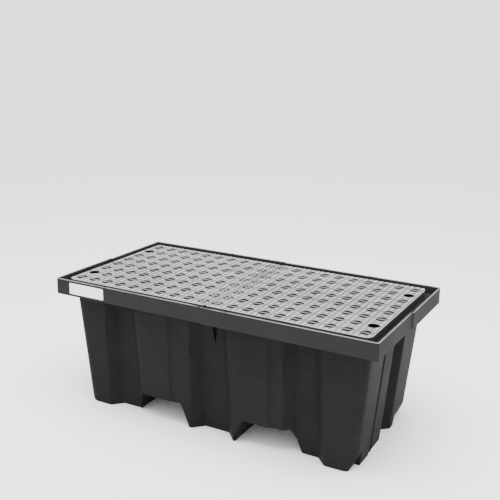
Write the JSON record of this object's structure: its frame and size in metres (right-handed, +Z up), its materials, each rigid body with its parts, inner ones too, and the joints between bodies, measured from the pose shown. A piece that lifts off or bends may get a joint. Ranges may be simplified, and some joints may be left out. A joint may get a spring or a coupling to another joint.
{
  "type": "spill containment pallet",
  "caption": "Low black plastic sump on three legs with fork tunnels, carrying light grey lift-out deck gratings with round drain holes, for standing drums over spilled liquid.",
  "frame": {"origin": "on the floor, at the middle of the overall box", "axes": "+X along the long side, +Y towards the long side away from the label, +Z up"},
  "size_m": [1.304, 0.668, 0.508],
  "materials": {
    "sump": "black moulded polyethylene, fine grain, lightly scuffed",
    "grating": "light grey moulded polyethylene, fine grain",
    "label": "blank white sticker"
  },
  "bodies": {
    "base": {"sump": "sump", "label": "label"},
    "left_grating": {"grating_left": "grating"},
    "right_grating": {"grating_right": "grating"}
  },
  "joints": [
    {"name": "grating_left_lift", "type": "slide", "parent": "base", "child": "left_grating", "axis": [0, 0, 1], "range_m": [0, 0.15]},
    {"name": "grating_right_lift", "type": "slide", "parent": "base", "child": "right_grating", "axis": [0, 0, 1], "range_m": [0, 0.15]}
  ]
}
